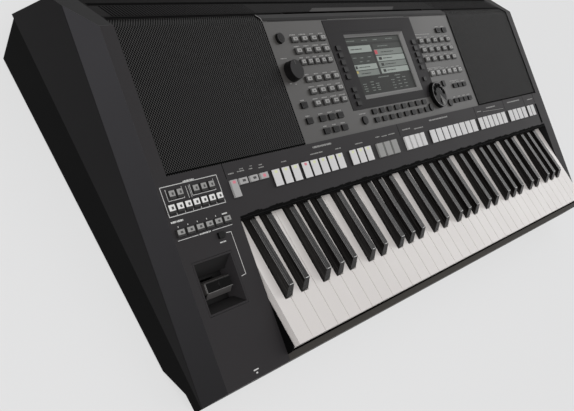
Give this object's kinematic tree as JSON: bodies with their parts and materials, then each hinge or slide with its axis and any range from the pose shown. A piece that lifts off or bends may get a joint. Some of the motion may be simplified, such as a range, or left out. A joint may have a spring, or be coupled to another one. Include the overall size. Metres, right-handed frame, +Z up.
{
  "type": "arranger keyboard",
  "caption": "Arranger keyboard with sprung piano keys, sunk speaker grilles, a display, panel buttons, a volume knob, a data dial and a joystick.",
  "frame": {"origin": "on the floor under the middle of the case", "axes": "+X to the right along the keys, +Y to the back, +Z up"},
  "size_m": [1.002, 0.442, 0.1487],
  "materials": {
    "case_charcoal": "fine grain",
    "case_black": "fine grain",
    "panel_grey": "satin",
    "bezel_dark": "satin",
    "frame_grey": "satin",
    "screen": "glossy",
    "grille": "perforated, satin",
    "ivory_white": "gloss",
    "key_black": "satin gloss",
    "button_white": "satin",
    "button_grey": "satin",
    "button_dark": "satin",
    "board": "solder mask",
    "steel": "plain",
    "felt": "felt",
    "rubber": "plain",
    "speaker": "matte",
    "socket": "plain"
  },
  "bodies": {
    "case": {"upper_case": "case_charcoal", "rear_cover": "case_charcoal", "key_slip": "case_charcoal", "lower_case": "case_black", "rear_jack_panel": "case_black", "niche_lining": "case_black", "centre_panel": "panel_grey", "screen_bezel": "bezel_dark", "display_frame": "frame_grey", "display_panel": "screen", "left_grille": "grille", "right_grille": "grille", "joystick_housing": "button_dark", "control_boards": "board", "contact_board": "board", "main_board": "board", "amplifier_board": "board", "key_chassis": "steel", "key_pivot_rod": "steel", "key_springs": "steel", "case_screws": "steel", "rotary_controls": "steel", "key_felt": "felt", "rubber_contacts": "rubber", "rubber_feet": "rubber", "loudspeakers": "speaker", "audio_jacks": "socket", "phones_jack": "socket", "data_sockets": "socket", "power_inlet": "socket"},
    "keys_c": {"keys_c": "ivory_white"},
    "keys_c_sharp": {"keys_c_sharp": "key_black"},
    "keys_d": {"keys_d": "ivory_white"},
    "keys_d_sharp": {"keys_d_sharp": "key_black"},
    "keys_e": {"keys_e": "ivory_white"},
    "keys_f": {"keys_f": "ivory_white"},
    "keys_f_sharp": {"keys_f_sharp": "key_black"},
    "keys_g": {"keys_g": "ivory_white"},
    "keys_g_sharp": {"keys_g_sharp": "key_black"},
    "keys_a": {"keys_a": "ivory_white"},
    "keys_a_sharp": {"keys_a_sharp": "key_black"},
    "keys_b": {"keys_b": "ivory_white"},
    "style_switch_buttons": {"style_switch_buttons": "button_grey"},
    "section_buttons": {"section_buttons": "button_white"},
    "start_pad_buttons": {"start_pad_buttons": "button_grey"},
    "registration_buttons": {"registration_buttons": "button_white"},
    "part_buttons": {"part_buttons": "button_white"},
    "cheek_buttons": {"cheek_buttons": "button_white"},
    "style_buttons": {"style_buttons": "button_grey"},
    "setup_buttons": {"setup_buttons": "button_grey"},
    "tempo_buttons": {"tempo_buttons": "button_dark"},
    "soft_buttons": {"soft_buttons": "button_grey"},
    "tab_buttons": {"tab_buttons": "button_grey"},
    "voice_buttons": {"voice_buttons": "button_grey"},
    "effect_buttons": {"effect_buttons": "button_grey"},
    "standby_button": {"standby_button": "button_dark"},
    "volume_knob": {"volume_knob": "button_dark"},
    "data_dial": {"data_dial": "button_dark"},
    "joystick_gimbal": {"joystick_gimbal": "button_dark"},
    "joystick_lever": {"joystick_lever": "button_dark"}
  },
  "joints": [
    {"name": "keys_c_press", "type": "hinge", "parent": "case", "child": "keys_c", "pos_m": [0, -0.007, 0.074], "axis": [1, 0, 0], "range_deg": [0, 2.8], "stiffness_Nm_per_rad": 2, "springref_deg": -14.32},
    {"name": "keys_c_sharp_press", "type": "hinge", "parent": "case", "child": "keys_c_sharp", "pos_m": [0, -0.007, 0.074], "axis": [1, 0, 0], "range_deg": [0, 2.8], "stiffness_Nm_per_rad": 2, "springref_deg": -14.32},
    {"name": "keys_d_press", "type": "hinge", "parent": "case", "child": "keys_d", "pos_m": [0, -0.007, 0.074], "axis": [1, 0, 0], "range_deg": [0, 2.8], "stiffness_Nm_per_rad": 2, "springref_deg": -14.32},
    {"name": "keys_d_sharp_press", "type": "hinge", "parent": "case", "child": "keys_d_sharp", "pos_m": [0, -0.007, 0.074], "axis": [1, 0, 0], "range_deg": [0, 2.8], "stiffness_Nm_per_rad": 2, "springref_deg": -14.32},
    {"name": "keys_e_press", "type": "hinge", "parent": "case", "child": "keys_e", "pos_m": [0, -0.007, 0.074], "axis": [1, 0, 0], "range_deg": [0, 2.8], "stiffness_Nm_per_rad": 2, "springref_deg": -14.32},
    {"name": "keys_f_press", "type": "hinge", "parent": "case", "child": "keys_f", "pos_m": [0, -0.007, 0.074], "axis": [1, 0, 0], "range_deg": [0, 2.8], "stiffness_Nm_per_rad": 2, "springref_deg": -14.32},
    {"name": "keys_f_sharp_press", "type": "hinge", "parent": "case", "child": "keys_f_sharp", "pos_m": [0, -0.007, 0.074], "axis": [1, 0, 0], "range_deg": [0, 2.8], "stiffness_Nm_per_rad": 2, "springref_deg": -14.32},
    {"name": "keys_g_press", "type": "hinge", "parent": "case", "child": "keys_g", "pos_m": [0, -0.007, 0.074], "axis": [1, 0, 0], "range_deg": [0, 2.8], "stiffness_Nm_per_rad": 2, "springref_deg": -14.32},
    {"name": "keys_g_sharp_press", "type": "hinge", "parent": "case", "child": "keys_g_sharp", "pos_m": [0, -0.007, 0.074], "axis": [1, 0, 0], "range_deg": [0, 2.8], "stiffness_Nm_per_rad": 2, "springref_deg": -14.32},
    {"name": "keys_a_press", "type": "hinge", "parent": "case", "child": "keys_a", "pos_m": [0, -0.007, 0.074], "axis": [1, 0, 0], "range_deg": [0, 2.8], "stiffness_Nm_per_rad": 2, "springref_deg": -14.32},
    {"name": "keys_a_sharp_press", "type": "hinge", "parent": "case", "child": "keys_a_sharp", "pos_m": [0, -0.007, 0.074], "axis": [1, 0, 0], "range_deg": [0, 2.8], "stiffness_Nm_per_rad": 2, "springref_deg": -14.32},
    {"name": "keys_b_press", "type": "hinge", "parent": "case", "child": "keys_b", "pos_m": [0, -0.007, 0.074], "axis": [1, 0, 0], "range_deg": [0, 2.8], "stiffness_Nm_per_rad": 2, "springref_deg": -14.32},
    {"name": "style_switch_buttons_press", "type": "slide", "parent": "case", "child": "style_switch_buttons", "axis": [0, 0.2219, -0.9751], "range_m": [0, 0.001], "stiffness_N_per_m": 1500, "springref_m": -0.001},
    {"name": "section_buttons_press", "type": "slide", "parent": "case", "child": "section_buttons", "axis": [0, 0.2219, -0.9751], "range_m": [0, 0.001], "stiffness_N_per_m": 1500, "springref_m": -0.001},
    {"name": "start_pad_buttons_press", "type": "slide", "parent": "case", "child": "start_pad_buttons", "axis": [0, 0.2219, -0.9751], "range_m": [0, 0.001], "stiffness_N_per_m": 1500, "springref_m": -0.001},
    {"name": "registration_buttons_press", "type": "slide", "parent": "case", "child": "registration_buttons", "axis": [0, 0.2219, -0.9751], "range_m": [0, 0.001], "stiffness_N_per_m": 1500, "springref_m": -0.001},
    {"name": "part_buttons_press", "type": "slide", "parent": "case", "child": "part_buttons", "axis": [0, 0.2219, -0.9751], "range_m": [0, 0.001], "stiffness_N_per_m": 1500, "springref_m": -0.001},
    {"name": "cheek_buttons_press", "type": "slide", "parent": "case", "child": "cheek_buttons", "axis": [0, 0.2219, -0.9751], "range_m": [0, 0.001], "stiffness_N_per_m": 1500, "springref_m": -0.001},
    {"name": "style_buttons_press", "type": "slide", "parent": "case", "child": "style_buttons", "axis": [0, 0.2219, -0.9751], "range_m": [0, 0.001], "stiffness_N_per_m": 1500, "springref_m": -0.001},
    {"name": "setup_buttons_press", "type": "slide", "parent": "case", "child": "setup_buttons", "axis": [0, 0.2219, -0.9751], "range_m": [0, 0.001], "stiffness_N_per_m": 1500, "springref_m": -0.001},
    {"name": "tempo_buttons_press", "type": "slide", "parent": "case", "child": "tempo_buttons", "axis": [0, 0.2219, -0.9751], "range_m": [0, 0.001], "stiffness_N_per_m": 1500, "springref_m": -0.001},
    {"name": "soft_buttons_press", "type": "slide", "parent": "case", "child": "soft_buttons", "axis": [0, 0.2219, -0.9751], "range_m": [0, 0.001], "stiffness_N_per_m": 1500, "springref_m": -0.001},
    {"name": "tab_buttons_press", "type": "slide", "parent": "case", "child": "tab_buttons", "axis": [0, 0.2219, -0.9751], "range_m": [0, 0.001], "stiffness_N_per_m": 1500, "springref_m": -0.001},
    {"name": "voice_buttons_press", "type": "slide", "parent": "case", "child": "voice_buttons", "axis": [0, 0.2219, -0.9751], "range_m": [0, 0.001], "stiffness_N_per_m": 1500, "springref_m": -0.001},
    {"name": "effect_buttons_press", "type": "slide", "parent": "case", "child": "effect_buttons", "axis": [0, 0.2219, -0.9751], "range_m": [0, 0.001], "stiffness_N_per_m": 1500, "springref_m": -0.001},
    {"name": "standby_button_press", "type": "slide", "parent": "case", "child": "standby_button", "axis": [0, 0.2219, -0.9751], "range_m": [0, 0.001], "stiffness_N_per_m": 1500, "springref_m": -0.001},
    {"name": "volume_turn", "type": "hinge", "parent": "case", "child": "volume_knob", "pos_m": [-0.2155, 0.07662, 0.13408], "axis": [0, -0.2219, 0.9751], "range_deg": [-150, 150]},
    {"name": "dial_turn", "type": "hinge", "parent": "case", "child": "data_dial", "pos_m": [0.1142, 0.01753, 0.12063], "axis": [0, -0.2219, 0.9751], "continuous": true},
    {"name": "joystick_fore_aft", "type": "hinge", "parent": "case", "child": "joystick_gimbal", "pos_m": [-0.44949, -0.11603, 0.05588], "axis": [1, 0, 0], "range_deg": [-12, 12], "stiffness_Nm_per_rad": 0.3},
    {"name": "joystick_side", "type": "hinge", "parent": "joystick_gimbal", "child": "joystick_lever", "pos_m": [-0.44949, -0.11603, 0.05588], "axis": [0, 0.9751, 0.2219], "range_deg": [-12, 12], "stiffness_Nm_per_rad": 0.3}
  ]
}
